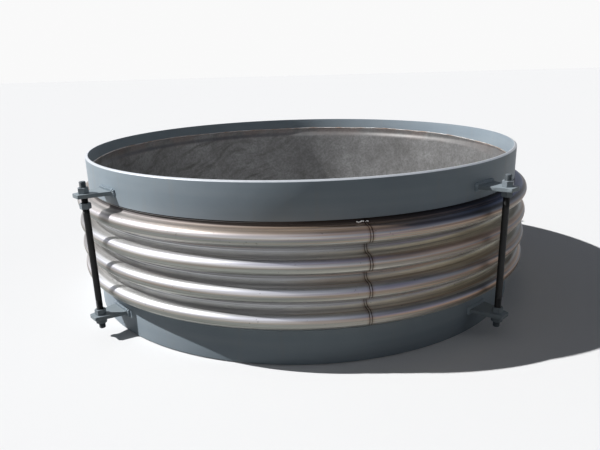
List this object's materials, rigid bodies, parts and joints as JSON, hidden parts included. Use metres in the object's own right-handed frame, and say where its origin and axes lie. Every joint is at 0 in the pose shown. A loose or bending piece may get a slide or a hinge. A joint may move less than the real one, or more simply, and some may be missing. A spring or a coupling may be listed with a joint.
{
  "type": "metal bellows expansion joint",
  "caption": "Axial expansion joint for a large duct: two weld ends joined by a convoluted metal bellows, with a flow liner inside and limit rods outside.",
  "frame": {"origin": "on the flow axis, in the plane of the lower weld end's face", "axes": "+Z along the flow axis from the lower end to the upper end, -Y the front, +X the right"},
  "size_m": [1.7062, 1.7058, 0.54],
  "materials": {
    "primer": "flat blue-grey shop primer on rolled carbon steel",
    "nut_primer": "blue-grey primer over the nuts",
    "bellows_steel": "cold-rolled stainless sheet, as formed, with heat tint along its seam",
    "liner_steel": "dull pickled stainless sheet, scuffed",
    "rod_black": "satin black"
  },
  "bodies": {
    "lower_end": {"lower_weld_end": "primer", "bellows": "bellows_steel", "lower_lug_front_left": "primer", "limit_rod_front_left": "rod_black", "lower_outer_nut_front_left": "nut_primer", "lower_inner_nut_front_left": "nut_primer", "upper_inner_nut_front_left": "nut_primer", "upper_outer_nut_front_left": "nut_primer", "lower_lug_front_right": "primer", "limit_rod_front_right": "rod_black", "lower_outer_nut_front_right": "nut_primer", "lower_inner_nut_front_right": "nut_primer", "upper_outer_nut_front_right": "nut_primer", "lower_lug_rear_right": "primer", "limit_rod_rear_right": "rod_black", "lower_outer_nut_rear_right": "nut_primer", "lower_inner_nut_rear_right": "nut_primer", "upper_inner_nut_rear_right": "nut_primer", "upper_outer_nut_rear_right": "nut_primer", "lower_lug_rear_left": "primer", "limit_rod_rear_left": "rod_black", "lower_outer_nut_rear_left": "nut_primer", "lower_inner_nut_rear_left": "nut_primer", "upper_inner_nut_rear_left": "nut_primer", "upper_outer_nut_rear_left": "nut_primer"},
    "upper_end": {"upper_weld_end": "primer", "flow_liner": "liner_steel", "upper_lug_front_left": "primer", "upper_lug_front_right": "primer", "upper_lug_rear_right": "primer", "upper_lug_rear_left": "primer"},
    "locking_nut": {"upper_inner_nut_front_right": "nut_primer"}
  },
  "joints": [
    {"name": "axial_travel", "type": "slide", "parent": "lower_end", "child": "upper_end", "axis": [0, 0, 1], "range_m": [-0.018, 0], "stiffness_N_per_m": 300000, "springref_m": 0.005, "deforming": ["bellows"]},
    {"name": "locking_nut_run", "type": "slide", "parent": "lower_end", "child": "locking_nut", "axis": [0, 0, 1], "range_m": [-0.018, 0]}
  ],
  "couplings": [
    {"joint": "locking_nut_run", "follows": "axial_travel", "ratio": 1}
  ]
}
